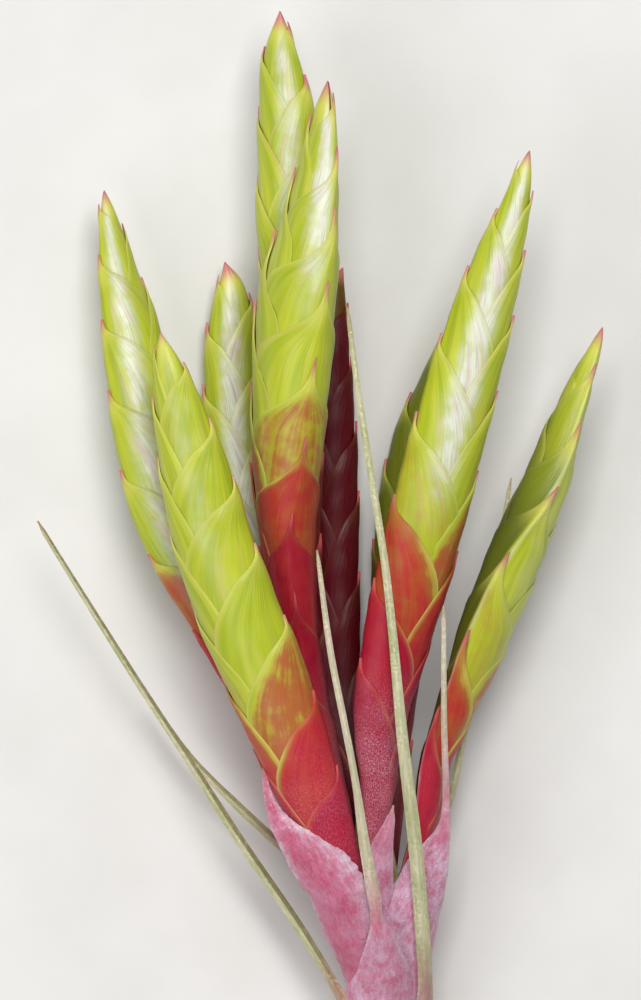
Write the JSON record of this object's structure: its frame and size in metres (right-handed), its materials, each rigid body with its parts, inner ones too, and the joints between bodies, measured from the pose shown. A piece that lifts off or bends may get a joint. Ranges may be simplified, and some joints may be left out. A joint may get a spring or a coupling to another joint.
{
  "type": "air plant flower head",
  "caption": "Cut flowering head of an air plant: a fan of flattened spikes of overlapping lime and red bracts on one stalk, lying on a table.",
  "frame": {"origin": "middle of the underside of the overall box, on the table", "axes": "+Y from the cut stalk to the tips of the spikes, +Z from the table to the front of the head, +X to the right seen from the front"},
  "size_m": [0.1136, 0.231, 0.0473],
  "materials": {
    "lime_bract": "satin lime green bract, silvery towards the middle",
    "red_bract": "satin crimson bract with a fine white scurf",
    "sheath": "matt pink sheath with a white scurf",
    "blade": "matt pale straw-green blade",
    "stalk": "matt olive stalk, cut clean"
  },
  "bodies": {
    "root": {"bract_a": "sheath", "bract_b": "blade", "bract_c": "sheath", "bract_e": "sheath", "bract_f": "sheath", "bract_g": "sheath", "bract_h": "blade", "bract_i": "sheath", "scape": "stalk", "scape_bract_front": "blade", "scape_bract_left": "blade", "spike_a_lime": "lime_bract", "spike_a_red": "red_bract", "spike_b_lime": "lime_bract", "spike_b_red": "red_bract", "spike_c_lime": "lime_bract", "spike_c_red": "red_bract", "spike_d_lime": "lime_bract", "spike_d_red": "red_bract", "spike_e_lime": "lime_bract", "spike_e_red": "red_bract", "spike_f_red": "red_bract", "spike_g_lime": "lime_bract", "spike_g_red": "red_bract", "spike_h_lime": "lime_bract", "spike_h_red": "red_bract", "spike_i_lime": "lime_bract", "spike_i_red": "red_bract"}
  },
  "joints": []
}
